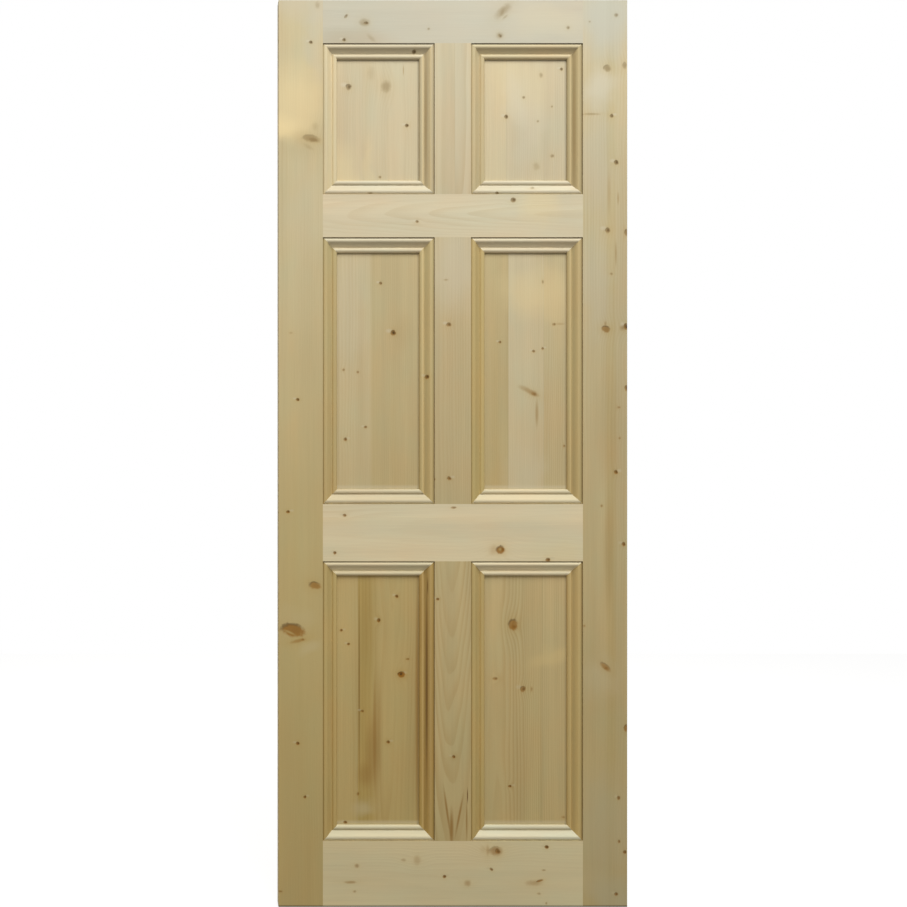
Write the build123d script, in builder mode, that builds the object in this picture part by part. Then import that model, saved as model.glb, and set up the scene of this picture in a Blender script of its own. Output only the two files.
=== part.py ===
"""Six-panel softwood door leaf: framed, panelled, with mouldings planted on both faces.

X runs across the leaf from its hinge edge, Y runs through its thickness with the front face at -Y,
and Z runs up from its bottom edge. The origin is on the hinge edge, at mid-thickness, at the bottom.
All sizes are in millimetres.
"""

import os
from math import acos, degrees

from build123d import *

# Leaf
leaf_width = 762.0
leaf_height = 1981.0
leaf_thickness = 44.0
edge_round = 1.0  # eased long arrises of the hinge edge and the lock edge

# Framing, as widths on the face, and the openings that the rails leave
stile_width = 97.0
muntin_width = 79.5
top_rail_width = 94.0
frieze_rail_width = 94.0
lock_rail_width = 125.0
bottom_rail_width = 144.0
top_opening_height = 330.0
middle_opening_height = 583.0
arris_round = 3.0  # eased arris of the framing round each opening

# Panels, loose in grooves ploughed along the inner edges of the framing
panel_thickness = 12.0
panel_play = 0.1  # from each face of a panel to the groove's wall
panel_edge_gap = 2.0  # left at the groove's bottom, for the panel to swell
groove_depth = 11.0

# Blind mortise and tenon joints, in line with the grooves
tenon_play = 0.1  # from each cheek and edge of a tenon to its mortise
tenon_end_gap = 2.0  # from a tenon's end to the bottom of its mortise
rail_tenon_length = 60.0
muntin_tenon_length = 30.0
haunch_width = 32.0  # how far the end rails' tenons stay in from the leaf's ends

# Planted moulding: an ogee and a bead, its back on the panel and its side against the framing
moulding_width = 32.0
moulding_set_down = 1.0  # from the framing's face down to the moulding's crown
crown_radius = 6.5
crown_inset = 6.0  # from the framing to the crown
crown_turn = 40.0  # degrees above level at which the crown turns into the hollow
bead_radius = 5.75
bead_foot = 1.0  # upright below the bead's inner side
bead_sweep = 150.0  # degrees of the bead, from its inner side to the quirk

# Heights of the rails and openings
top_rail_z = leaf_height - top_rail_width
frieze_rail_z = top_rail_z - top_opening_height - frieze_rail_width
lock_rail_z = frieze_rail_z - middle_opening_height - lock_rail_width

# Widths across the leaf
between_stiles = leaf_width - 2 * stile_width
opening_width = (between_stiles - muntin_width) / 2
centre_x = leaf_width / 2
column_offset = (opening_width + muntin_width) / 2

# Depths through the leaf
groove_width = panel_thickness + 2 * panel_play
tenon_thickness = groove_width - 2 * tenon_play
recess_depth = (leaf_thickness - panel_thickness) / 2
moulding_height = recess_depth - moulding_set_down

# Each rail's low and high edge, and the low and high edge of its tenons
rails = {
    "top_rail": (
        (top_rail_z, leaf_height),
        (top_rail_z + groove_depth, leaf_height - haunch_width),
    ),
    "frieze_rail": (
        (frieze_rail_z, frieze_rail_z + frieze_rail_width),
        (frieze_rail_z + groove_depth, frieze_rail_z + frieze_rail_width - groove_depth),
    ),
    "lock_rail": (
        (lock_rail_z, lock_rail_z + lock_rail_width),
        (lock_rail_z + groove_depth, lock_rail_z + lock_rail_width - groove_depth),
    ),
    "bottom_rail": (
        (0, bottom_rail_width),
        (haunch_width, bottom_rail_width - groove_depth),
    ),
}

# Each row of openings: its low and high edge
rows = {
    "top": (frieze_rail_z + frieze_rail_width, top_rail_z),
    "middle": (lock_rail_z + lock_rail_width, frieze_rail_z),
    "bottom": (bottom_rail_width, lock_rail_z),
}
columns = {"left": centre_x - column_offset, "right": centre_x + column_offset}


def upright_rectangle(x_span, z_span):
    """A rectangle in a sketch on the leaf's mid-plane, between two values of X and two of Z."""
    middle = (sum(x_span) / 2, sum(z_span) / 2)
    with Locations(middle):
        Rectangle(x_span[1] - x_span[0], z_span[1] - z_span[0])


def finish(builder, name):
    """Labels a finished piece and writes it to its own file."""
    builder.part.label = name
    export_step(builder.part, f"parts/{name}.step")


def arris_cutter():
    """What easing takes off the framing's arrises round every opening, on both faces."""
    with BuildPart() as cutter:
        for x in columns.values():
            for low, high in rows.values():
                left, right = x - opening_width / 2, x + opening_width / 2
                with BuildLine(Plane.XZ.offset(leaf_thickness / 2)) as rim:
                    Polyline((x, high), (right, high), (right, low), (left, low), (left, high), close=True)
                section = Plane((x, -leaf_thickness / 2, high), x_dir=(0, 0, 1), z_dir=(1, 0, 0))
                with BuildSketch(section):
                    Rectangle(arris_round, arris_round, align=(Align.MIN, Align.MIN))
                    with Locations((arris_round, arris_round)):
                        Circle(arris_round, mode=Mode.SUBTRACT)
                sweep(path=rim.wires()[0], transition=Transition.RIGHT)
        mirror(about=Plane.XZ)
    return cutter.part


def stile(eased):
    """The hinge stile: grooved along its inner edge and mortised for the four rails."""
    mortise_depth = rail_tenon_length + tenon_end_gap
    with BuildPart() as piece:
        with BuildSketch(Plane.XY):
            Rectangle(stile_width, leaf_thickness, align=(Align.MIN, Align.CENTER))
            with Locations((stile_width, 0)):
                Rectangle(
                    groove_depth,
                    groove_width,
                    align=(Align.MAX, Align.CENTER),
                    mode=Mode.SUBTRACT,
                )
        extrude(amount=leaf_height)
        fillet(piece.edges().filter_by(Axis.Z).group_by(Axis.X)[0], radius=edge_round)
        with BuildSketch(Plane.XZ):
            for _, (tenon_low, tenon_high) in rails.values():
                upright_rectangle(
                    (stile_width - mortise_depth, stile_width),
                    (tenon_low - tenon_play, tenon_high + tenon_play),
                )
        extrude(amount=groove_width / 2, both=True, mode=Mode.SUBTRACT)
        add(eased, mode=Mode.SUBTRACT)
    return piece


def rail(name, eased):
    """A rail between the stiles, tenoned into both and grooved for the panels it borders."""
    (low, high), (tenon_low, tenon_high) = rails[name]
    borders_below = low > 0
    borders_above = high < leaf_height
    haunch_low = low + groove_depth if borders_below else low
    haunch_high = high - groove_depth if borders_above else high
    mortise_half_width = muntin_width / 2 - groove_depth + tenon_play
    mortise_depth = muntin_tenon_length + tenon_end_gap
    haunch_reach = groove_depth - tenon_play
    with BuildPart() as piece:
        with BuildSketch(Plane.XZ):
            upright_rectangle((stile_width, leaf_width - stile_width), (low, high))
        extrude(amount=leaf_thickness / 2, both=True)
        with BuildSketch(Plane.XZ):
            upright_rectangle(
                (stile_width - haunch_reach, leaf_width - stile_width + haunch_reach),
                (haunch_low, haunch_high),
            )
            upright_rectangle(
                (stile_width - rail_tenon_length, leaf_width - stile_width + rail_tenon_length),
                (tenon_low, tenon_high),
            )
        extrude(amount=tenon_thickness / 2, both=True)
        with BuildSketch(Plane.XZ):
            mortise_x = (centre_x - mortise_half_width, centre_x + mortise_half_width)
            if borders_below:
                upright_rectangle((0, leaf_width), (low, low + groove_depth))
                upright_rectangle(mortise_x, (low, low + mortise_depth))
            if borders_above:
                upright_rectangle((0, leaf_width), (high - groove_depth, high))
                upright_rectangle(mortise_x, (high - mortise_depth, high))
        extrude(amount=groove_width / 2, both=True, mode=Mode.SUBTRACT)
        add(eased, mode=Mode.SUBTRACT)
    return piece


def muntin(low, high, eased):
    """A muntin between two rails, tenoned into both and grooved along both edges."""
    half_width = muntin_width / 2
    with BuildPart() as piece:
        with BuildSketch(Plane.XZ):
            upright_rectangle((centre_x - half_width, centre_x + half_width), (low, high))
        extrude(amount=leaf_thickness / 2, both=True)
        with BuildSketch(Plane.XZ):
            tenon_half_width = half_width - groove_depth
            upright_rectangle(
                (centre_x - tenon_half_width, centre_x + tenon_half_width),
                (low - muntin_tenon_length, high + muntin_tenon_length),
            )
        extrude(amount=tenon_thickness / 2, both=True)
        with BuildSketch(Plane.XZ):
            for edge, inner in ((-half_width, -tenon_half_width), (tenon_half_width, half_width)):
                upright_rectangle((centre_x + edge, centre_x + inner), (low, high))
        extrude(amount=groove_width / 2, both=True, mode=Mode.SUBTRACT)
        add(eased, mode=Mode.SUBTRACT)
    return piece


def panel(x, low, high):
    """A flat panel that reaches into the grooves on its four sides."""
    reach = groove_depth - panel_edge_gap
    with BuildPart() as piece:
        with BuildSketch(Plane.XZ):
            upright_rectangle(
                (x - opening_width / 2 - reach, x + opening_width / 2 + reach),
                (low - reach, high + reach),
            )
        extrude(amount=panel_thickness / 2, both=True)
    return piece


def moulding_section(plane):
    """The moulding's section on a plane: X in from the framing, Y up from the panel."""
    crown_centre = (crown_inset, moulding_height - crown_radius)
    crown_start = degrees(acos(-crown_inset / crown_radius))
    bead_centre = (moulding_width - bead_radius, bead_foot)
    with BuildSketch(plane) as section:
        with BuildLine():
            crown = CenterArc(crown_centre, crown_radius, crown_start, crown_turn - crown_start)
            bead = CenterArc(bead_centre, bead_radius, 0, bead_sweep)
            TangentArc(crown @ 1, bead @ 1, tangent=crown % 1)
            Polyline(bead @ 0, (moulding_width, 0), (0, 0), crown @ 0)
        make_face()
    return section.sketch


def moulding(corner_a, corner_b, inward):
    """One side of a panel's moulding: a strip on the front, mitred at both ends, and its twin behind."""
    face = -panel_thickness / 2
    start = Vector(corner_a[0], face, corner_a[1])
    end = Vector(corner_b[0], face, corner_b[1])
    along = Vector(*inward).cross(Vector(0, -1, 0))
    half_length = (end - start).length / 2
    centre = (start + end) * 0.5
    with BuildPart() as piece:
        section = moulding_section(Plane(centre, x_dir=inward, z_dir=along))
        extrude(section, amount=half_length, both=True)
        for way in (along, -along):
            mitre = Plane(centre + way * half_length, z_dir=way + Vector(*inward))
            split(bisect_by=mitre, keep=Keep.BOTTOM)
        mirror(about=Plane.XZ)
    return piece


def main():
    os.makedirs("parts", exist_ok=True)
    eased = arris_cutter()

    hinge_stile = stile(eased)
    with BuildPart() as lock_stile:
        mirror(hinge_stile.part, about=Plane.YZ.offset(centre_x))
    finish(hinge_stile, "hinge_stile")
    finish(lock_stile, "lock_stile")

    for name in rails:
        finish(rail(name, eased), name)

    for row, (low, high) in rows.items():
        finish(muntin(low, high, eased), f"{row}_muntin")
        for column, x in columns.items():
            finish(panel(x, low, high), f"{row}_{column}_panel")
            left, right = x - opening_width / 2, x + opening_width / 2
            sides = {
                "head": ((left, high), (right, high), (0, 0, -1)),
                "foot": ((left, low), (right, low), (0, 0, 1)),
                "left": ((left, low), (left, high), (1, 0, 0)),
                "right": ((right, low), (right, high), (-1, 0, 0)),
            }
            for side, (corner_a, corner_b, inward) in sides.items():
                finish(moulding(corner_a, corner_b, inward), f"{row}_{column}_moulding_{side}")


main()
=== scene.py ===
"""Looks of a bare pine six-panel door leaf: procedural wood on every piece, in soft light from overhead.

Lengths are in metres in the frame's own axes: X across the leaf from its hinge edge, Y through it
from the front, Z up. Knots, stains and glue lines are placed in millimetres on the leaf's face.
"""

import math

import bpy
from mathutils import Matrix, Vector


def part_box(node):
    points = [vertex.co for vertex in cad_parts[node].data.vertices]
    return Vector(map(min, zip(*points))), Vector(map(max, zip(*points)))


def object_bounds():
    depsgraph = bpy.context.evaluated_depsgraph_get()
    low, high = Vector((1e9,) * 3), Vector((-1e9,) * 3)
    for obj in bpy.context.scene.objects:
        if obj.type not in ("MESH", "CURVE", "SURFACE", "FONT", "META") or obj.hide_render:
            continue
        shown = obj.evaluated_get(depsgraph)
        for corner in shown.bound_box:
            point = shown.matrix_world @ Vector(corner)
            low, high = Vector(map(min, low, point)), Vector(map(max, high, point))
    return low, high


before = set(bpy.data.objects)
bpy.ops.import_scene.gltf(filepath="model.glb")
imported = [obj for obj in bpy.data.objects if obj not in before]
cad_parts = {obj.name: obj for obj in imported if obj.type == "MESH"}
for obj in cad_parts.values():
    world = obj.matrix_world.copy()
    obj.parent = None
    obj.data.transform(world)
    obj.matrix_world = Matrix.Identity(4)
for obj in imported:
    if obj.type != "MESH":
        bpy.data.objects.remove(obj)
cad_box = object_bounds()

MM = 0.001
leaf_width = cad_box[1][0]
leaf_height = cad_box[1][2]

# Colours of the bare wood, as light leaves it
PINE = (0.552, 0.446, 0.240)
LATEWOOD = (0.408, 0.271, 0.104)
KNOT_LOW = (0.33, 0.142, 0.012)
KNOT_HIGH = (0.24, 0.165, 0.065)
KNOT_HEART = (0.062, 0.034, 0.009)
KNOT_EYE = (0.50, 0.36, 0.14)
STAIN = (0.31, 0.165, 0.035)
PITCH = (0.13, 0.058, 0.012)
# Painted light: warm pools of light and highlights, laid over the wood's colour
PAINTED_LIGHT = (0.78, 0.60, 0.29)
# Pale wood, for flecks by the knots and paler clouds; it is also laid on as painted light, in patches that
# look lit and as a sheen above the panels' foot beads
PALE = (0.64, 0.57, 0.40)
SILVER = (0.50, 0.48, 0.36)
HONEY = (0.555, 0.44, 0.17)
# Painted shade: shadow in the creases and gaps of the section, under the beads and along the leaf's bottom
# edge
PAINTED_SHADE_TONE = (0.085, 0.066, 0.038)
WHITE = (1.0, 1.0, 1.0)

# Painted light: the leaf is tinted paler and cooler towards its top and yellower towards its bottom, as the
# light fell
TOP_LIGHT_TINT = (1.06, 1.11, 1.28)
FOOT_LIGHT_TINT = (0.96, 0.92, 0.78)

# What a step of warmth takes from the wood's green and blue
WARMTH_GREEN = 0.07
WARMTH_BLUE = 0.3

# Noises along the grain: waves to the metre along it and across it, step of the seed, and detail
NOISES = {
    "wander": (2.2, 14.0, 0.0, 2.0),
    "fade": (1.5, 16.0, 40.0, 2.0),
    "fibre": (14.0, 620.0, 0.0, 3.0),
    "streak": (1.3, 55.0, 10.0, 3.0),
    "cloud": (4.0, 9.0, 20.0, 1.0),
    "warm": (0.9, 26.0, 30.0, 2.0),
    "hue": (8.0, 18.0, 50.0, 2.0),
}
NOISE_MIDDLE = 0.5

# Growth rings
RING_WANDER = 0.016  # metres that a ring strays from a circle
YEAR_WAVES = (60.0, 0.0, 0.0)  # changes of the years' widths, to the metre from the pith
YEAR_CHANGE = 2.4  # years that such a change moves a ring by
DARKENING = (0.25, 0.9)  # shares of a year between which the wood turns dark
NEW_SPRING = (0.92, 1.0)  # shares of a year between which it is pale again
RING_FADE = (0.25, 0.75)  # range of the noise in which rings come and go

# How far the noises tint and shade the wood
WARM_RANGE = (0.5, 0.8)
WARM_TINT = (0.98, 0.90, 0.74)
WARM_SHARE = 0.3
RED_TINT = (1.07, 0.97, 0.91)
BLUE_TINT = (0.93, 1.03, 1.09)
STREAK_SHADE = 0.12
RING_STREAK_SHADE = 0.4  # added to it, for each unit of the rings' strength
FIBRE_SHADE = 0.12
CLOUD_SHADE = 0.16
END_SHADE = -0.3

# Surface of the wood
ROUGHNESS = 0.46
FIBRE_ROUGHNESS = 0.16
LATE_ROUGHNESS = -0.08
END_ROUGHNESS = 0.2
LATE_HEIGHT = 0.5  # height of latewood, where fibres are 1
GRAIN_HEIGHT = 0.0004  # metres
GRAIN_BUMP = 0.35
SPECULAR = 0.15
END_GRAIN = (0.85, 0.95)  # how squarely a face crosses the grain, from where it shows end grain

# Knots. Reaches are shares of the way from a knot's middle to its edge.
LARGE_KNOT = 14  # millimetres across, from where a knot is mostly brown
SWELL = 0.35  # how far a knot pushes the rings, as a share of its width
SWELL_REACH = 1.6  # how much further it pushes them along the grain
SWELL_FALL = -0.25
HALO_FALL = -0.3
HALO_TINT = (0.90, 0.76, 0.50)
LARGE_HALO = 0.45
SMALL_HALO = 0.35
FIRM_REACH = 0.75  # where a deep knot's edge starts
SOFT_REACH = 1.55  # where a shallow knot's edge ends
DEPTH_REACH = -0.4  # how much sooner a deep knot's edge ends
BROWN_SHARE = 0.92
# The greyer knots up top are painted light: the paler, cooler light there washes them out
KNOTS_TURN = 0.35  # share of the leaf's height, from where knots turn from red to grey
RIM_START = (0.55, 0.9)
RIM_END = (0.95, 1.25)
RIM_WAY = (-0.5, 0.0, 0.8)  # the side of a knot that has the dark rim
RIM_SIDE = (-0.2, 0.9)
RIM_DEPTH = (0.45, 0.8)
RIM_SHARE = 0.55
HEART_PLACE = (0.18, 0.0, 0.12)
HEART_REACH = (0.15, 0.9)
LARGE_HEART = 0.15
SMALL_HEART = 1.0

# Outlines of knots are ragged, and clouds of tone drift
WOBBLE_DETAIL = 3.0
RAGGED_WAVES = 110.0
RAGGED_SEEDS = (0.0, 60.0)
LARGE_RAGGED = 0.8
DRIFT_WAVES = 11.0
DRIFT_SEEDS = (70.0, 80.0)
DRIFT = 0.09  # metres

# Pale flecks beside small dark knots, in widths and heights of the knot
TORN_KNOT = 0.7  # depth of a small knot, from where the plane has torn the wood beside it
FLECK_PLACE = (0.8, 0.4)
FLECK_SIZE = (1.3, 0.9)
FLECK_DEPTH = 0.4
FLECK_TURN = 3  # one fleck in so many lies on the other side

# Boards that are glued up from strips
SHARP_JOINT = 1  # millimetres, up to where a change across a board is a glue line
GLUE_LINE = 0.9  # millimetres from the line's middle to where it ends
GLUE_SHADE = 0.88
STRIP_SEED = 6.3
BOARD_SEED = 3.7

# Soft marks over the wood, in the order that they are laid on: the wood's own tones, and painted light and
# shade. Clouds drift, the others keep their outline.
SOFT_TONES = {
    # painted pools of warm light, where the wood looks lit brighter
    "painted_light_pools": PAINTED_LIGHT,
    # pale clouds: partly paler wood, partly painted patches of light
    "pales": PALE,
    "silvers": SILVER,
    "honeys": HONEY,
    "stains": STAIN,
    "pitch": PITCH,
    # painted highlights on lit parts of the moulding's section
    "worn": PAINTED_LIGHT,
    # a painted sheen on the panels, just above the foot's bead
    "painted_sheen": PALE,
    # painted shade and shadow, in creases, under beads and along the bottom edge
    "grime": PAINTED_SHADE_TONE,
}
CLOUDS = ("painted_light_pools", "pales", "silvers", "honeys")
MARK_REACH = (0.2, 1.3)  # where a soft mark starts and ends to fade, as shares of the way to its edge

# Floor under the leaf
FLOOR_HALF = 4.0
FLOOR_DROP = 0.0005
FLOOR_GREY = (0.15, 0.15, 0.15)
FLOOR_ROUGHNESS = 0.9
FLOOR_GLOW = 0.9

# Lamps, placed from the middle of the leaf's foot, and an even light all round
LAMPS = {
    "overhead": dict(place=(0.5, -2.3, 4.6), size=(1.6, 2.0), power=172.0, color=(0.97, 0.99, 1.0)),
    "side": dict(place=(-1.8, -1.8, 1.7), size=(1.5, 1.5), power=8.0, color=(1.0, 0.88, 0.70)),
    "behind": dict(place=(0.3, 2.6, 4.2), size=(1.6, 1.6), power=100.0, color=(1.0, 0.97, 0.92)),
}
EVEN_LIGHT = (1.0, 0.95, 0.87)
EVEN_STRENGTH = 0.27

# Camera: square to the leaf, a little left of its hinge edge, with the leaf as tall as the picture
CAMERA_DISTANCE = 3.2
CAMERA_X = -0.16
PICTURE_X = 0.3823  # X of the leaf at the picture's middle
PICTURE_HEIGHT = 1.9813  # metres of the leaf's front face, from the picture's bottom to its top
SENSOR = 36.0


class Tree:
    """A node tree, with a short call for each kind of node that the wood needs."""

    def __init__(self, tree):
        self.tree = tree

    def put(self, socket, value):
        if isinstance(value, bpy.types.NodeSocket):
            self.tree.links.new(value, socket)
        else:
            socket.default_value = value

    def node(self, kind, inputs, **settings):
        made = self.tree.nodes.new(kind)
        for name, value in settings.items():
            setattr(made, name, value)
        for name, value in inputs.items():
            self.put(made.inputs[name], value)
        return made

    def use(self, node_group, inputs):
        """A node group with its inputs set: its outputs."""
        return self.node("ShaderNodeGroup", inputs, node_tree=node_group).outputs

    def math(self, operation, *values):
        made = self.tree.nodes.new("ShaderNodeMath")
        made.operation = operation
        for socket, value in zip(made.inputs, values):
            self.put(socket, value)
        return made.outputs[0]

    def vector(self, operation, *values):
        made = self.tree.nodes.new("ShaderNodeVectorMath")
        made.operation = operation
        for socket, value in zip(made.inputs, values):
            self.put(socket, value)
        return made.outputs["Value" if operation in ("LENGTH", "DOT_PRODUCT") else "Vector"]

    def scaled(self, vector, factor):
        made = self.node("ShaderNodeVectorMath", {"Vector": vector, "Scale": factor}, operation="SCALE")
        return made.outputs["Vector"]

    def split(self, vector):
        return self.node("ShaderNodeSeparateXYZ", {"Vector": vector}).outputs

    def joined(self, x, y, z):
        return self.node("ShaderNodeCombineXYZ", {"X": x, "Y": y, "Z": z}).outputs["Vector"]

    def turned(self, vector, angle):
        """A vector turned about Y, the way that takes X up into the face's own tilted axis."""
        inputs = {"Vector": vector, "Angle": angle}
        return self.node("ShaderNodeVectorRotate", inputs, rotation_type="Y_AXIS").outputs["Vector"]

    def smooth(self, value, low, high):
        """0 below low and 1 above high, with an eased step between."""
        inputs = {"Value": value, "From Min": low, "From Max": high}
        return self.node("ShaderNodeMapRange", inputs, interpolation_type="SMOOTHSTEP").outputs["Result"]

    def falling(self, reach, fall):
        """1 in the middle, falling off with the square of the reach."""
        return self.math("EXPONENT", self.math("MULTIPLY", self.math("MULTIPLY", reach, reach), fall))

    def noise(self, point, stretch, seed, detail):
        """Noise from 0 to 1, of so many waves to the metre along each axis."""
        stretched = self.vector("MULTIPLY", point, stretch)
        inputs = {"Vector": stretched, "W": seed, "Scale": 1.0, "Detail": detail}
        return self.node("ShaderNodeTexNoise", inputs, noise_dimensions="4D").outputs[0]

    def swayed(self, value, noise, amount):
        """A value that a noise moves up and down, by so much in all."""
        return self.math("MULTIPLY_ADD", self.math("SUBTRACT", noise, NOISE_MIDDLE), amount, value)

    def mix(self, share, a, b):
        made = self.tree.nodes.new("ShaderNodeMix")
        made.data_type = "RGBA"
        for socket, value in zip((made.inputs[0], made.inputs[6], made.inputs[7]), (share, a, b)):
            self.put(socket, value)
        return made.outputs[2]


def opaque(color):
    """A colour as sockets take it, with its alpha."""
    return (*color, 1.0)


def toned(color, value, warmth):
    """A colour made lighter by a factor, and yellower where warmth is above 0."""
    red, green, blue = color
    green *= 1 - WARMTH_GREEN * warmth
    blue *= 1 - WARMTH_BLUE * warmth
    return opaque((red * value, green * value, blue * value))


def group(name, inputs, outputs):
    """An empty node group: its tree, and the sockets that it is given and gives back."""
    made = bpy.data.node_groups.new(name, "ShaderNodeTree")
    for label, kind in inputs.items():
        made.interface.new_socket(label, in_out="INPUT", socket_type=f"NodeSocket{kind}")
    for label, kind in outputs.items():
        made.interface.new_socket(label, in_out="OUTPUT", socket_type=f"NodeSocket{kind}")
    given = made.nodes.new("NodeGroupInput").outputs
    result = made.nodes.new("NodeGroupOutput").inputs
    return Tree(made), given, result


def pine_group():
    """Softwood sawn from a log: growth rings about a pith, with fibres and streaks along the grain.

    Point is (along the grain, across the board, through the board). Pith is (lean, across, through).
    """
    tree, given, result = group(
        "Pine",
        {
            "Point": "Vector",
            "Seed": "Float",
            "Pith": "Vector",
            "Spacing": "Float",
            "Strength": "Float",
            "Pale": "Color",
            "Late": "Color",
            "Push": "Float",
            "End": "Float",
        },
        {"Color": "Color", "Roughness": "Float", "Height": "Float"},
    )
    point, seed = given["Point"], given["Seed"]
    along, across, through = tree.split(point)
    lean, pith_across, pith_through = tree.split(given["Pith"])

    def noise(kind):
        along_waves, across_waves, step, detail = NOISES[kind]
        stretch = (along_waves, across_waves, across_waves)
        return tree.noise(point, stretch, tree.math("ADD", seed, step), detail)

    # Rings: the distance from a wandering pith, with uneven years
    side = tree.math("SUBTRACT", across, pith_across)
    depth = tree.math("MULTIPLY_ADD", lean, along, tree.math("SUBTRACT", through, pith_through))
    radius = tree.math("SQRT", tree.math("MULTIPLY_ADD", side, side, tree.math("MULTIPLY", depth, depth)))
    radius = tree.math("MULTIPLY_ADD", noise("wander"), RING_WANDER, radius)
    radius = tree.math("ADD", radius, given["Push"])
    years = tree.math("DIVIDE", radius, given["Spacing"])
    uneven = tree.noise(tree.joined(radius, 0.0, 0.0), YEAR_WAVES, seed, detail=1.0)
    phase = tree.math("FRACT", tree.math("MULTIPLY_ADD", uneven, YEAR_CHANGE, years))
    late = tree.math("SUBTRACT", tree.smooth(phase, *DARKENING), tree.smooth(phase, *NEW_SPRING))
    late = tree.math("MULTIPLY", late, tree.smooth(noise("fade"), *RING_FADE))

    # Colour, with warm streaks and drifts of hue
    color = tree.mix(tree.math("MULTIPLY", late, given["Strength"]), given["Pale"], given["Late"])
    warmed = tree.vector("MULTIPLY", color, WARM_TINT)
    warm = tree.smooth(noise("warm"), *WARM_RANGE)
    color = tree.mix(tree.math("MULTIPLY", warm, WARM_SHARE), color, warmed)
    tint = tree.mix(noise("hue"), opaque(RED_TINT), opaque(BLUE_TINT))
    color = tree.vector("MULTIPLY", color, tint)

    # Shade: streaks, fibres and broad clouds, and darker end grain
    fibre = noise("fibre")
    streaking = tree.math("MULTIPLY_ADD", given["Strength"], RING_STREAK_SHADE, STREAK_SHADE)
    shade = tree.swayed(1.0, noise("streak"), streaking)
    shade = tree.swayed(shade, fibre, FIBRE_SHADE)
    shade = tree.swayed(shade, noise("cloud"), CLOUD_SHADE)
    shade = tree.math("MULTIPLY", shade, tree.math("MULTIPLY_ADD", given["End"], END_SHADE, 1.0))
    tree.put(result["Color"], tree.scaled(color, shade))

    rough = tree.math("MULTIPLY_ADD", fibre, FIBRE_ROUGHNESS, ROUGHNESS)
    rough = tree.math("MULTIPLY_ADD", late, LATE_ROUGHNESS, rough)
    tree.put(result["Roughness"], tree.math("MULTIPLY_ADD", given["End"], END_ROUGHNESS, rough))
    tree.put(result["Height"], tree.math("MULTIPLY_ADD", late, LATE_HEIGHT, fibre))
    return tree.tree


def mark_offset(tree, given):
    """A point's place in a mark's own tilted axes, where 1 is the mark's edge."""
    offset = tree.vector("SUBTRACT", given["Face"], given["Centre"])
    return tree.vector("DIVIDE", tree.turned(offset, given["Turn"]), given["Half"])


def knot_push_group():
    """How a knot swells the rings round it, added to what other knots do."""
    inputs = {
        "Push": "Float",
        "Face": "Vector",
        "Centre": "Vector",
        "Half": "Vector",
        "Turn": "Float",
        "Swell": "Float",
    }
    tree, given, result = group("Knot push", inputs, {"Push": "Float"})
    swollen = tree.falling(tree.vector("LENGTH", mark_offset(tree, given)), SWELL_FALL)
    tree.put(result["Push"], tree.math("MULTIPLY_ADD", swollen, given["Swell"], given["Push"]))
    return tree.tree


def knot_paint_group():
    """A knot over the wood's colour: brown in a warm halo, with a dark upper rim and a heart off centre.

    A deep knot has a firm edge and a shallow one melts into the wood.
    """
    inputs = {
        "Color": "Color",
        "Face": "Vector",
        "Ragged": "Vector",
        "Centre": "Vector",
        "Half": "Vector",
        "Turn": "Float",
        "Depth": "Float",
        "Heart": "Float",
        "Halo": "Float",
        "Brown": "Color",
    }
    tree, given, result = group("Knot", inputs, {"Color": "Color"})
    depth = given["Depth"]
    offset = tree.vector("ADD", mark_offset(tree, given), given["Ragged"])
    reach = tree.vector("LENGTH", offset)

    halo = tree.math("MULTIPLY", tree.falling(reach, HALO_FALL), given["Halo"])
    warmed = tree.vector("MULTIPLY", given["Color"], HALO_TINT)
    color = tree.mix(halo, given["Color"], warmed)

    edge_start = tree.math("MULTIPLY", depth, FIRM_REACH)
    edge_end = tree.math("MULTIPLY_ADD", depth, DEPTH_REACH, SOFT_REACH)
    inside = tree.math("SUBTRACT", 1.0, tree.smooth(reach, edge_start, edge_end))
    brown = tree.math("MULTIPLY", inside, tree.math("MULTIPLY", depth, BROWN_SHARE))
    color = tree.mix(brown, color, given["Brown"])

    rim = tree.math("SUBTRACT", tree.smooth(reach, *RIM_START), tree.smooth(reach, *RIM_END))
    upper = tree.smooth(tree.vector("DOT_PRODUCT", offset, RIM_WAY), *RIM_SIDE)
    clear = tree.math("MULTIPLY", tree.smooth(depth, *RIM_DEPTH), RIM_SHARE)
    rim = tree.math("MULTIPLY", tree.math("MULTIPLY", rim, upper), clear)
    color = tree.mix(rim, color, opaque(KNOT_HEART))

    heart_reach = tree.vector("LENGTH", tree.vector("SUBTRACT", offset, HEART_PLACE))
    heart = tree.math("SUBTRACT", 1.0, tree.smooth(heart_reach, *HEART_REACH))
    heart = tree.math("MULTIPLY", heart, given["Heart"])
    tree.put(result["Color"], tree.mix(heart, color, opaque(KNOT_HEART)))
    return tree.tree


def soft_mark_group():
    """A soft streak or cloud of another tone over the wood's colour."""
    inputs = {
        "Color": "Color",
        "Face": "Vector",
        "Centre": "Vector",
        "Half": "Vector",
        "Turn": "Float",
        "Depth": "Float",
        "Tone": "Color",
    }
    tree, given, result = group("Stain", inputs, {"Color": "Color"})
    reach = tree.vector("LENGTH", mark_offset(tree, given))
    mask = tree.math("SUBTRACT", 1.0, tree.smooth(reach, *MARK_REACH))
    share = tree.math("MULTIPLY", mask, given["Depth"])
    tree.put(result["Color"], tree.mix(share, given["Color"], given["Tone"]))
    return tree.tree


PINE_GROUP = pine_group()
PUSH_GROUP = knot_push_group()
KNOT_GROUP = knot_paint_group()
SOFT_MARK_GROUP = soft_mark_group()


def on_face(x, z):
    """A place on the leaf's face, from millimetres."""
    return (x * MM, 0.0, z * MM)


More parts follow.
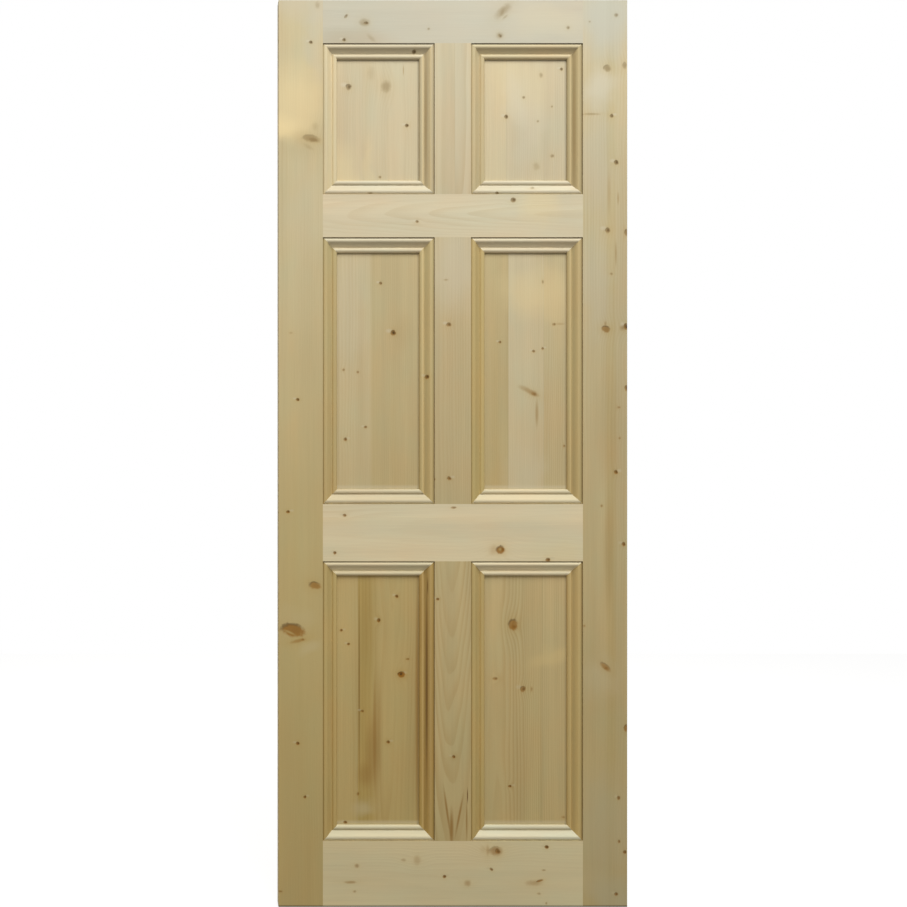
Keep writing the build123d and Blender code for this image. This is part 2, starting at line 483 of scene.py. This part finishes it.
def half_size(width, height):
    """Half sizes of a mark on the face, from millimetres. Marks run right through the board."""
    return (width * MM / 2, 1.0, height * MM / 2)


def mark_inputs(x, z, width, height, depth, tilt=0.0):
    """What a mark on the face gives to its node group."""
    return {
        "Centre": on_face(x, z),
        "Half": half_size(width, height),
        "Turn": math.radians(tilt),
        "Depth": depth,
    }


def is_large(knot):
    """Whether a knot is so wide that it is mostly brown, and not dark all over."""
    _, _, width, height, *_ = knot
    return max(width, height) > LARGE_KNOT


def flecks(knots):
    """Pale flecks beside the small dark knots, mostly up and to the left, where fibres are torn."""
    marks = []
    across, up = FLECK_PLACE
    wide, tall = FLECK_SIZE
    for index, knot in enumerate(knots):
        x, z, width, height, depth, *_ = knot
        if depth >= TORN_KNOT and not is_large(knot):
            side = 1 if index % FLECK_TURN == FLECK_TURN - 1 else -1
            place = (x + side * across * width, z + up * height)
            marks.append((*place, wide * width, tall * height, FLECK_DEPTH))
    return marks


def wobble(tree, place, waves, seed, steps):
    """An offset in the face's plane that changes from place to place, up to half a unit each way."""
    stretch = (waves, waves, waves)
    x, z = (tree.noise(place, stretch, seed + step, WOBBLE_DETAIL) for step in steps)
    middle = (NOISE_MIDDLE, NOISE_MIDDLE, NOISE_MIDDLE)
    return tree.vector("SUBTRACT", tree.joined(x, NOISE_MIDDLE, z), middle)


def swelling(tree, face, upright, knots):
    """How far the knots of a board push its rings, with a longer reach along the grain."""
    push = 0.0
    for x, z, width, height, *_ in knots:
        reach = (width, height * SWELL_REACH) if upright else (width * SWELL_REACH, height)
        inputs = {
            "Push": push,
            "Face": face,
            "Centre": on_face(x, z),
            "Half": half_size(*reach),
            "Swell": SWELL * min(width, height) * MM,
        }
        push = tree.use(PUSH_GROUP, inputs)["Push"]
    return push


def strip_tones(tree, x, seed, value, warmth, strips):
    """The pale tone, the late tone and the seed of a board, which change from strip to strip."""
    pale = toned(PINE, value, warmth)
    late = toned(LATEWOOD, value, warmth)
    for line, soft, strip_value, strip_warmth in strips:
        past = tree.smooth(x, line * MM, (line + soft) * MM)
        pale = tree.mix(past, pale, toned(PINE, strip_value, strip_warmth))
        late = tree.mix(past, late, toned(LATEWOOD, strip_value, strip_warmth))
        if soft <= SHARP_JOINT:
            seed = tree.math("MULTIPLY_ADD", past, STRIP_SEED, seed)
    return pale, late, seed


def glue_lines(tree, color, x, strips):
    """Thin dark lines over a colour, where strips of a board are glued together."""
    for line, soft, _, _ in strips:
        if soft <= SHARP_JOINT:
            away = tree.math("ABSOLUTE", tree.math("SUBTRACT", x, line * MM))
            past = tree.smooth(away, 0.0, GLUE_LINE * MM)
            color = tree.scaled(color, tree.math("MULTIPLY_ADD", past, 1 - GLUE_SHADE, GLUE_SHADE))
    return color


def lay_marks(tree, color, face, tone, marks):
    """Soft marks of one tone over a colour."""
    for mark in marks:
        inputs = {"Color": color, "Face": face, "Tone": opaque(tone), **mark_inputs(*mark)}
        color = tree.use(SOFT_MARK_GROUP, inputs)["Color"]
    return color


def lay_knots(tree, color, face, ragged, brown, knots):
    """Knots over a colour. Large ones are mostly brown, and small ones are dark all over."""
    less_ragged = tree.scaled(ragged, LARGE_RAGGED)
    for knot in knots:
        large = is_large(knot)
        inputs = {"Color": color, "Face": face, "Brown": brown, **mark_inputs(*knot)}
        inputs["Ragged"] = less_ragged if large else ragged
        inputs["Heart"] = inputs["Depth"] ** 2 * (LARGE_HEART if large else SMALL_HEART)
        inputs["Halo"] = inputs["Depth"] * (LARGE_HALO if large else SMALL_HALO)
        color = tree.use(KNOT_GROUP, inputs)["Color"]
    return color


def wood(
    name,
    seed,
    grain,
    value=1.0,
    warmth=0.0,
    spacing=4.0,
    strength=0.2,
    pith=(0, 0, 0),
    knots=(),
    eyes=(),
    strips=(),
    **soft_marks,
):
    """Material of one board.

    grain is "up" or "across". spacing is the width of a year in millimetres. pith is (lean, millimetres
    across, millimetres through). Marks on the face are (x, z, width, height, depth), with a tilt in
    degrees after that where they have one: knots, their pale eyes, and the soft marks that SOFT_TONES
    names. strips are (x of the joint, how wide the change is, value, warmth), for a board that changes
    across its width.
    """
    material = bpy.data.materials.new(name)
    material.use_nodes = True
    tree = Tree(material.node_tree)
    surface = material.node_tree.nodes["Principled BSDF"]
    place = tree.node("ShaderNodeTexCoord", {}).outputs
    x, y, z = tree.split(place["Object"])
    normal_x, _, normal_z = tree.split(place["Normal"])
    upright = grain == "up"

    # Bare wood
    face = tree.joined(x, 0.0, z)
    pale, late, strip_seed = strip_tones(tree, x, seed, value, warmth, strips)
    lean, pith_across, pith_through = pith
    inputs = {
        "Point": tree.joined(z, x, y) if upright else tree.joined(x, z, y),
        "Seed": strip_seed,
        "Pith": (lean, pith_across * MM, pith_through * MM),
        "Spacing": spacing * MM,
        "Strength": strength,
        "Pale": pale,
        "Late": late,
        "Push": swelling(tree, face, upright, knots),
        "End": tree.smooth(tree.math("ABSOLUTE", normal_z if upright else normal_x), *END_GRAIN),
    }
    bare = tree.use(PINE_GROUP, inputs)

    # Marks keep to the face's own plane
    color = glue_lines(tree, bare["Color"], x, strips)
    drift = wobble(tree, place["Object"], DRIFT_WAVES, seed, DRIFT_SEEDS)
    drifting = tree.vector("ADD", face, tree.scaled(drift, DRIFT))
    for kind, tone in SOFT_TONES.items():
        where = drifting if kind in CLOUDS else face
        color = lay_marks(tree, color, where, tone, soft_marks.get(kind, ()))
    color = lay_marks(tree, color, face, PALE, flecks(knots))
    ragged = wobble(tree, place["Object"], RAGGED_WAVES, seed, RAGGED_SEEDS)
    upper = tree.smooth(z, KNOTS_TURN * leaf_height, leaf_height)
    brown = tree.mix(upper, opaque(KNOT_LOW), opaque(KNOT_HIGH))
    color = lay_knots(tree, color, face, ragged, brown, knots)
    color = lay_marks(tree, color, face, KNOT_EYE, eyes)

    # Painted light tint, from the bottom of the leaf to its top
    light_tint = tree.mix(tree.smooth(z, 0.0, leaf_height), opaque(FOOT_LIGHT_TINT), opaque(TOP_LIGHT_TINT))
    tree.put(surface.inputs["Base Color"], tree.vector("MULTIPLY", color, light_tint))
    tree.put(surface.inputs["Roughness"], bare["Roughness"])
    relief = {"Strength": GRAIN_BUMP, "Distance": GRAIN_HEIGHT, "Height": bare["Height"]}
    tree.put(surface.inputs["Normal"], tree.node("ShaderNodeBump", relief).outputs["Normal"])
    surface.inputs["Specular IOR Level"].default_value = SPECULAR
    return material


# The boards of the framing, as they look in the photo from the front
FRAMING = {
    "hinge_stile": dict(
        grain="up",
        warmth=0.15,
        strength=0.15,
        pith=(0.004, -60, 90),
        knots=[
            (71, 1889, 8, 7, 0.85),
            (85, 1970, 10, 16, 0.35),
            (66, 1660, 24, 8, 0.2, -30),
            (80, 1705, 14, 18, 0.2),
            (72, 1678, 38, 15, 0.62, -10),
            (77, 1675, 18, 8, 0.55, -10),
            (42, 1108, 8, 7, 0.9),
            (27, 1254, 10, 5, 0.25),
            (21, 863, 9, 7, 0.9),
            (79, 702, 26, 16, 0.75, -10),
            (32, 604, 52, 28, 0.9, -13),
            (43, 581, 32, 8, 0.5, 12),
            (53, 584, 9, 6, 0.5),
            (42, 357, 8, 7, 0.9),
            (58, 240, 7, 7, 0.85),
            (3, 34, 12, 5, 0.5),
        ],
        stains=[(48, 200, 140, 640, 0.05), (40, 1665, 120, 70, 0.08)],
        # Painted shadow along the bottom edge
        grime=[(48, 0, 2000, 8, 0.95)],
        # painted pools of warm light
        painted_light_pools=[(35, 1765, 170, 190, 0.5), (18, 1706, 110, 70, 0.75), (48, 1320, 160, 260, 0.08)],
        pales=[
            (66, 560, 60, 34, 0.4),
            (45, 1335, 120, 160, 0.05),
            (60, 1510, 120, 250, 0.14),
            (30, 620, 110, 70, 0.35),
        ],
        silvers=[(48, 1985, 160, 110, 0.35), (85, 1930, 44, 220, 0.3)],
        honeys=[(48, 480, 400, 1500, 0.33)],
        eyes=[(24, 600, 30, 6, 0.8, -24)],
    ),
    "lock_stile": dict(
        grain="up",
        strength=0.22,
        pith=(-0.003, 830, 110),
        knots=[
            (680, 1934, 5, 5, 0.4),
            (738, 1948, 9, 9, 0.55),
            (718, 1832, 16, 15, 0.65),
            (756, 1838, 10, 16, 0.6),
            (683, 1732, 38, 5, 0.45),
            (728, 1728, 8, 8, 0.75),
            (738, 1626, 10, 10, 0.85),
            (719, 1478, 12, 12, 0.75),
            (760, 1473, 8, 16, 0.8),
            (727, 1383, 7, 6, 0.45),
            (714, 1274, 5, 12, 0.35),
            (715, 1262, 18, 15, 0.85, -30),
            (752, 1265, 14, 14, 0.4),
            (759, 1267, 9, 14, 0.95),
            (760, 1133, 8, 12, 0.8),
            (743, 1091, 7, 6, 0.45),
            (745, 1024, 6, 6, 0.45),
            (737, 949, 9, 10, 0.85),
            (706, 876, 6, 6, 0.5),
            (754, 792, 8, 9, 0.8),
            (714, 524, 28, 12, 0.65, -45),
            (715, 521, 9, 8, 0.4),
            (668, 614, 6, 6, 0.4),
            (759, 390, 8, 16, 0.8),
            (743, 238, 7, 9, 0.7),
            (744, 143, 6, 8, 0.65),
            (757, 120, 8, 8, 0.8),
            (738, 28, 8, 8, 0.75),
        ],
        stains=[
            (737, 1427, 5, 60, 0.45),
            (722, 1560, 8, 110, 0.25),
            (742, 1548, 5, 30, 0.4),
            (718, 1060, 70, 300, 0.18),
            (721, 780, 24, 280, 0.24),
        ],
        # Painted shadow along the bottom edge, and a faint broad painted shade near the lock edge
        grime=[(714, 0, 2000, 8, 0.95), (750, 1300, 40, 900, 0.09)],
        pales=[(698, 1790, 90, 110, 0.5), (700, 500, 90, 110, 0.25), (690, 50, 80, 90, 0.2)],
        silvers=[
            (715, 1945, 180, 200, 0.72),
            (700, 1640, 90, 260, 0.25),
            (690, 1350, 80, 260, 0.25),
            (710, 170, 150, 280, 0.38),
            (735, 15, 120, 120, 0.5),
        ],
        strips=[(712, 10, 0.96, 0.3), (730, 12, 1.0, 0.0)],
    ),
    "top_rail": dict(
        grain="across",
        value=0.96,
        # Less yellow: a painted sheen of the light on level grain
        warmth=-0.9,
        strength=0.1,
        pith=(0.01, 1860, 70),
        knots=[
            (187, 1932, 22, 16, 0.5),
            (191, 1931, 9, 7, 0.8),
            (148, 1946, 10, 6, 0.65, 50),
            (144, 1894, 8, 7, 0.85),
            (203, 1898, 26, 9, 0.28, -45),
            (491, 1958, 48, 18, 0.45, 42),
            (489, 1955, 20, 7, 0.35, 60),
            (495, 1944, 16, 5, 0.35, 40),
            (483, 1904, 16, 14, 0.4),
            (484, 1903, 9, 6, 0.65, -50),
            (328, 1918, 6, 6, 0.45),
            (633, 1921, 8, 8, 0.55),
        ],
        stains=[(150, 1897, 200, 50, 0.2)],
        # painted pool of warm light
        painted_light_pools=[(585, 1930, 190, 90, 0.25)],
        silvers=[(381, 1934, 1200, 300, 0.35)],
    ),
    "frieze_rail": dict(
        grain="across",
        # Paler and less yellow than the stiles: a painted sheen of the overhead light on level grain
        value=1.16,
        warmth=-0.7,
        strength=0.22,
        pith=(0.03, 1515, 50),
        knots=[(513, 1544, 11, 10, 0.8), (303, 1497, 7, 6, 0.7)],
        # painted pool of warm light
        painted_light_pools=[(570, 1532, 110, 80, 0.4)],
    ),
    "lock_rail": dict(
        grain="across",
        # Paler and less yellow than the stiles: a painted sheen of the overhead light on level grain
        value=1.36,
        warmth=-1.2,
        strength=0.3,
        pith=(0.02, 830, 60),
        knots=[
            (145, 855, 8, 7, 0.75),
            (123, 773, 8, 7, 0.85),
            (470, 780, 22, 24, 0.22),
            (485, 780, 19, 17, 0.92),
            (490, 780, 6, 11, 0.6),
            (589, 758, 11, 9, 0.85),
            (383, 872, 12, 5, 0.6),
        ],
        # painted pool of warm light
        painted_light_pools=[(610, 780, 130, 70, 0.2)],
        eyes=[(484, 781, 7, 8, 0.75)],
    ),
    "bottom_rail": dict(
        grain="across",
        # Paler and less yellow than the stiles: a painted sheen of the overhead light on level grain
        value=1.47,
        warmth=-1.25,
        strength=0.12,
        pith=(-0.01, 40, 80),
        knots=[
            (474, 122, 28, 20, 0.6),
            (479, 121, 11, 11, 0.7),
            (457, 124, 7, 22, 0.35),
            (447, 125, 16, 16, 0.15),
            (586, 130, 9, 8, 0.95),
            (171, 90, 11, 9, 0.45),
            (273, 102, 12, 8, 0.3),
            (303, 102, 16, 22, 0.3),
            (363, 66, 8, 8, 0.85),
            (465, 82, 9, 6, 0.75, -40),
            (158, 54, 28, 6, 0.5),
            (413, 52, 16, 14, 0.45),
            (557, 52, 38, 13, 0.35),
            (571, 57, 15, 5, 0.8, 18),
            (569, 29, 9, 6, 0.35),
            (580, 80, 9, 4, 0.45),
            (585, 8, 5, 7, 0.4),
            (166, 34, 8, 6, 0.4),
        ],
        # Painted shadow along the bottom edge
        grime=[(381, 0, 2000, 8, 0.95)],
        silvers=[(381, 72, 1200, 300, 0.25)],
    ),
    "top_muntin": dict(
        grain="up",
        warmth=-0.4,
        strength=0.35,
        spacing=6.0,
        pith=(0.01, 384, 60),
        strips=[(385, 1, 1.01, -0.5)],
    ),
    "middle_muntin": dict(
        grain="up",
        strength=0.2,
        pith=(0.0, 300, 80),
        knots=[
            (366, 1370, 10, 5, 0.35),
            (373, 1272, 11, 9, 0.75),
            (373, 936, 9, 8, 0.75),
            (341, 934, 5, 6, 0.5),
        ],
        pales=[(381, 1405, 140, 230, 0.4)],
        stains=[(395, 1150, 120, 300, 0.05)],
    ),
    "bottom_muntin": dict(
        grain="up",
        value=1.06,
        strength=0.5,
        spacing=6.0,
        pith=(0.06, 381, 60),
        knots=[(348, 672, 8, 6, 0.8), (383, 328, 8, 7, 0.85)],
        stains=[
            (378, 172, 10, 90, 0.8),
            (368, 210, 6, 116, 0.75, 8),
            (395, 200, 6, 100, 0.75, -11),
            (411, 190, 5, 90, 0.65),
        ],
        pitch=[(413, 243, 3, 36, 0.9)],
    ),
}

# The panels, some of them glued up from strips
PANELS = {
    "top_left_panel": dict(
        value=1.03,
        warmth=-0.35,
        strength=0.15,
        pith=(0.01, 260, 60),
        knots=[
            (155, 1795, 13, 13, 0.75),
            (237, 1796, 22, 26, 0.5),
            (204, 1825, 18, 30, 0.18),
            (283, 1710, 9, 8, 0.9),
            (224, 1597, 6, 6, 0.6),
        ],
        stains=[(275, 1832, 3, 26, 0.5)],
        # painted pools of warm light
        painted_light_pools=[(140, 1610, 90, 140, 0.35), (207, 1630, 30, 140, 0.2)],
    ),
    "top_right_panel": dict(
        value=1.04,
        warmth=-0.25,
        strength=0.2,
        pith=(0.0, 420, 70),
        knots=[
            (622, 1834, 7, 7, 0.8),
            (577, 1821, 9, 12, 0.4),
            (539, 1772, 7, 6, 0.6),
            (501, 1729, 9, 9, 0.85),
            (570, 1720, 6, 6, 0.45),
            (601, 1752, 5, 5, 0.45),
            (602, 1644, 9, 8, 0.5),
            (567, 1621, 14, 16, 0.3),
        ],
        # painted pool of warm light
        painted_light_pools=[(524, 1808, 160, 170, 0.3)],
        pales=[(540, 1715, 70, 250, 0.22), (512, 1765, 60, 130, 0.25)],
        strips=[(501, 1, 1.02, -0.45)],
    ),
    "middle_left_panel": dict(
        value=1.03,
        warmth=-0.1,
        strength=0.25,
        pith=(0.0, 100, 60),
        knots=[
            (225, 1364, 7, 7, 0.75),
            (253, 1255, 12, 12, 0.95),
            (144, 1174, 7, 6, 0.5),
            (175, 1169, 6, 6, 0.6),
            (192, 1048, 7, 6, 0.7),
            (148, 1021, 8, 8, 0.8),
        ],
        stains=[(276, 1256, 50, 90, 0.1), (182, 1130, 24, 460, 0.1)],
        pales=[(155, 1300, 90, 320, 0.2)],
        strips=[(198, 12, 0.97, 0.25)],
    ),
    "middle_right_panel": dict(
        value=0.97,
        warmth=0.35,
        strength=0.25,
        pith=(0.0, 700, 60),
        knots=[
            (487, 1235, 6, 6, 0.75),
            (561, 1215, 7, 6, 0.7),
            (581, 1221, 6, 6, 0.7),
            (606, 1274, 8, 6, 0.6),
            (581, 1367, 5, 10, 0.45),
            (557, 1124, 30, 12, 0.5, -25),
            (561, 1121, 12, 8, 0.55, -20),
            (628, 1007, 6, 6, 0.55),
        ],
        stains=[(568, 1079, 8, 64, 0.5), (541, 1133, 32, 12, 0.35, -22), (619, 1275, 22, 6, 0.3)],
        # painted pool of warm light
        painted_light_pools=[(570, 1338, 190, 120, 0.4)],
        pales=[(545, 925, 100, 180, 0.3)],
        strips=[(505, 1, 1.07, -0.4), (583, 1, 1.01, 0.0)],
    ),
    "bottom_left_panel": dict(
        warmth=0.6,
        strength=0.3,
        pith=(0.01, 240, 80),
        knots=[
            (261, 677, 8, 7, 0.85),
            (221, 624, 8, 9, 0.9),
            (139, 602, 7, 6, 0.8),
            (155, 572, 7, 6, 0.8),
            (271, 505, 16, 13, 0.95),
            (269, 506, 11, 9, 0.95),
            (285, 539, 9, 5, 0.6),
            (185, 425, 8, 6, 0.7),
            (242, 357, 8, 7, 0.85),
            (175, 243, 6, 8, 0.6),
            (148, 181, 8, 6, 0.85),
        ],
        stains=[
            (206, 330, 36, 170, 0.45),
            (190, 285, 34, 60, 0.4),
            (218, 380, 22, 280, 0.3),
            (212, 380, 8, 240, 0.45),
            (196, 600, 30, 260, 0.15),
            (305, 440, 9, 620, 0.65),
        ],
        pitch=[(178, 490, 4, 500, 0.55)],
        pales=[(200, 222, 70, 50, 0.4)],
        strips=[(175, 1, 0.88, 1.3), (192, 36, 0.98, 0.7)],
    ),
    "bottom_right_panel": dict(
        value=1.04,
        warmth=0.1,
        strength=0.5,
        pith=(0.0, 480, 50),
        knots=[
            (516, 615, 20, 25, 0.8),
            (517, 610, 11, 10, 0.5),
            (477, 496, 12, 7, 0.6),
            (538, 473, 12, 12, 0.7),
            (556, 473, 5, 13, 0.4),
            (509, 260, 8, 6, 0.85),
            (626, 192, 10, 6, 0.4),
        ],
        # painted pool of warm light
        painted_light_pools=[(606, 548, 120, 46, 0.35, 25)],
        strips=[(580, 1, 1.08, 0.0)],
    ),
}

# Single strips of moulding that differ from the others in their row, and the marks on them
MOULDINGS = {
    "top_left_moulding_head": dict(knots=[(298, 1870, 9, 8, 0.9)]),
    # Painted light and shade in the top row: the left-hand strip is lighter and the right-hand strips
    # darker, as the light fell from the right
    "top_left_moulding_left": dict(value=1.18, warmth=-0.15),
    # The dark streak down the cove of the right-hand strips is partly the grain and partly painted shade
    "top_left_moulding_right": dict(value=0.92, warmth=-0.05, stains=[(323, 1722, 8, 340, 0.4)]),
    "top_right_moulding_right": dict(value=0.79, warmth=0.5, stains=[(648, 1722, 8, 340, 0.35)]),
    "top_right_moulding_head": dict(value=1.05, warmth=-0.05),
    "top_left_moulding_foot": dict(knots=[(201, 1560, 12, 5, 0.5)]),
    "top_right_moulding_foot": dict(knots=[(478, 1560, 8, 6, 0.75), (556, 1572, 10, 6, 0.5)]),
    "middle_left_moulding_foot": dict(value=1.1),
    "middle_left_moulding_right": dict(value=1.0, knots=[(326, 1158, 9, 9, 0.9)]),
    "middle_right_moulding_left": dict(warmth=0.95),
    "middle_right_moulding_right": dict(value=0.91),
    # Paler and less yellow than the rest of its row: more of the painted sheen
    "bottom_right_moulding_head": dict(value=1.72, warmth=-1.6),
    "bottom_right_moulding_right": dict(warmth=0.6),
    # Less yellow than the rest of their row: more of the painted sheen
    "bottom_left_moulding_foot": dict(value=1.33, warmth=-2.3),
    "bottom_right_moulding_foot": dict(value=1.37, warmth=-2.8),
    "bottom_left_moulding_right": dict(
        value=1.1,
        warmth=1.2,
        stains=[(325, 440, 60, 1400, 0.45), (313, 640, 10, 260, 0.3), (331, 440, 16, 700, 0.2)],
        pitch=[(325, 490, 6, 480, 0.7), (307, 460, 6, 470, 0.55), (327, 700, 3, 40, 0.7)],
    ),
}

# Value and warmth of the mouldings, row by row. Level strips are paler and less yellow, more so lower down:
# a painted sheen of the overhead light.
HEADS = {"top": (1.11, -0.55), "middle": (1.36, -0.85), "bottom": (1.62, -1.3)}
FEET = {"top": (1.06, -0.85), "middle": (1.22, -1.05), "bottom": (1.35, -2.1)}
UPRIGHTS = {"top": (0.96, 0.2), "middle": (0.97, 0.65), "bottom": (1.02, 0.8)}
MOULDING_SPACING = 3.0  # width of a year, in millimetres
MOULDING_PITH = (-50, 40)  # millimetres from a strip's low edge, and through the leaf

# Lines along the sides of pieces, from end to end
ENDLESS = 100000  # length of a line, in millimetres
BEAD_EDGE = 32  # millimetres from the framing to the bead's inner edge
TONGUE = 9  # millimetres that a panel reaches into its groove

# Lines on the mouldings: (kind, side, millimetres in from the framing, width, depth)
MOULDING_LINES = [
    # Painted highlights on the lit crown and bead of the right-hand strips
    ("worn", "right", 10, 8, 0.3),
    ("worn", "right", 24, 6, 0.4),
    # Painted shade in the gap by the framing, in the head's cove and in the right-hand strips' quirk
    ("grime", "head", 1.5, 5, 0.45),
    ("grime", "head", 12, 8, 0.14),
    ("grime", "right", 2.5, 4, 0.2),
    ("grime", "right", 18.5, 6, 0.13),
]

# Lines on the panels: (kind, side, millimetres in from the bead, width, depth in each row)
PANEL_LINES = [
    # Painted shade on the panel under the beads at its head and on its right-hand side
    ("grime", "right", 1, 7, {"top": 0.35, "middle": 0.25, "bottom": 0.3}),
    ("grime", "head", 1.5, 6, {"top": 0.45, "middle": 0.38, "bottom": 0.18}),
    # Painted sheen on the panel just above the foot's bead
    ("painted_sheen", "foot", 3, 14, {"top": 0.0, "middle": 0.4, "bottom": 0.6}),
]


def edge_line(node, side, inset, width, depth):
    """A mark along one side of a node, so many millimetres in from it."""
    low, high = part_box(node)
    if side == "left":
        return (low[0] / MM + inset, 0, width, ENDLESS, depth)
    if side == "right":
        return (high[0] / MM - inset, 0, width, ENDLESS, depth)
    if side == "foot":
        return (0, low[2] / MM + inset, ENDLESS, width, depth)
    return (0, high[2] / MM - inset, ENDLESS, width, depth)


def panel_look(node):
    """How a panel looks: painted shade along the beads at its head and on its lock side, and a painted
    sheen along its foot.
    """
    row, _, _ = node.split("_")
    look = dict(grain="up", grime=[], painted_sheen=[], **PANELS[node])
    for kind, side, inset, width, depths in PANEL_LINES:
        line = edge_line(node, side, TONGUE + BEAD_EDGE + inset, width, depths[row])
        look[kind].append(line)
    return look


def moulding_look(node):
    """How a strip of moulding looks. Level strips are paler, as a painted sheen, and painted shade and
    highlights follow the section.
    """
    row, _, _, side = node.split("_")
    level = side in ("head", "foot")
    value, warmth = {"head": HEADS, "foot": FEET}.get(side, UPRIGHTS)[row]
    low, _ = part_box(node)
    low_edge = low[2 if level else 0] / MM
    pith_across, pith_through = MOULDING_PITH
    look = dict(
        grain="across" if level else "up",
        value=value,
        warmth=warmth,
        spacing=MOULDING_SPACING,
        pith=(0.0, low_edge + pith_across, pith_through),
        worn=[],
        grime=[],
    )
    for kind, line_side, *line in MOULDING_LINES:
        if line_side == side:
            look[kind].append(edge_line(node, side, *line))
    look.update(MOULDINGS.get(node, {}))
    return look


def dress_boards():
    """Gives every node of the frame its own board."""
    for index, (node, piece) in enumerate(sorted(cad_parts.items())):
        if node in FRAMING:
            look = FRAMING[node]
        elif node in PANELS:
            look = panel_look(node)
        else:
            look = moulding_look(node)
        piece.data.materials.clear()
        piece.data.materials.append(wood(node, index * BOARD_SEED, **look))


def add_floor():
    """A plain pale floor under the leaf, which sends no light up to it."""
    mesh = bpy.data.meshes.new("floor")
    low, high = -FLOOR_HALF, FLOOR_HALF
    corners = [(low, low, 0), (high, low, 0), (high, high, 0), (low, high, 0)]
    mesh.from_pydata(corners, [], [(0, 1, 2, 3)])
    floor = bpy.data.objects.new("floor", mesh)
    floor.location = (leaf_width / 2, 0.0, -FLOOR_DROP)
    bpy.context.scene.collection.objects.link(floor)
    material = bpy.data.materials.new("floor")
    material.use_nodes = True
    surface = material.node_tree.nodes["Principled BSDF"]
    surface.inputs["Base Color"].default_value = opaque(FLOOR_GREY)
    surface.inputs["Roughness"].default_value = FLOOR_ROUGHNESS
    surface.inputs["Specular IOR Level"].default_value = 0.0
    surface.inputs["Emission Color"].default_value = opaque(WHITE)
    surface.inputs["Emission Strength"].default_value = FLOOR_GLOW
    mesh.materials.append(material)
    floor.visible_diffuse = False


def add_lamp(name, place, size, power, color):
    """A rectangular lamp that faces the middle of the leaf."""
    data = bpy.data.lights.new(name, "AREA")
    data.shape = "RECTANGLE"
    data.size, data.size_y = size
    data.energy = power
    data.color = color
    lamp = bpy.data.objects.new(name, data)
    across, through, up = place
    lamp.location = (leaf_width / 2 + across, through, up)
    tilt = math.atan2(math.hypot(across, through), up - leaf_height / 2)
    lamp.rotation_euler = (tilt, 0.0, math.atan2(across, -through))
    bpy.context.scene.collection.objects.link(lamp)


def add_world():
    """An even light all round. The camera sees white."""
    world = bpy.data.worlds.new("world")
    world.use_nodes = True
    tree = Tree(world.node_tree)
    nodes = world.node_tree.nodes
    nodes.clear()
    even = tree.node("ShaderNodeBackground", {"Color": opaque(EVEN_LIGHT), "Strength": EVEN_STRENGTH})
    white = tree.node("ShaderNodeBackground", {"Color": opaque(WHITE), "Strength": 1.0})
    path = tree.node("ShaderNodeLightPath", {}).outputs
    seen = tree.math("MAXIMUM", path["Is Camera Ray"], path["Is Glossy Ray"])
    seen = tree.math("MAXIMUM", seen, path["Is Transmission Ray"])
    either = nodes.new("ShaderNodeMixShader")
    for socket, value in zip(either.inputs, (seen, even.outputs[0], white.outputs[0])):
        tree.put(socket, value)
    output = nodes.new("ShaderNodeOutputWorld")
    tree.put(output.inputs["Surface"], either.outputs[0])
    bpy.context.scene.world = world


def add_camera():
    """A camera square to the front face, its lens shifted so that the whole leaf is in the picture."""
    data = bpy.data.cameras.new("camera")
    data.sensor_width = SENSOR
    front = cad_box[0][1]
    data.lens = SENSOR * (CAMERA_DISTANCE + front) / PICTURE_HEIGHT
    data.shift_x = (PICTURE_X - CAMERA_X) / PICTURE_HEIGHT
    camera = bpy.data.objects.new("camera", data)
    camera.location = (CAMERA_X, -CAMERA_DISTANCE, leaf_height / 2)
    camera.rotation_euler = (math.pi / 2, 0.0, 0.0)
    bpy.context.scene.collection.objects.link(camera)
    bpy.context.scene.camera = camera


dress_boards()
add_floor()
for lamp_name, lamp_look in LAMPS.items():
    add_lamp(lamp_name, **lamp_look)
add_world()
add_camera()
bpy.context.scene.view_settings.view_transform = "Standard"
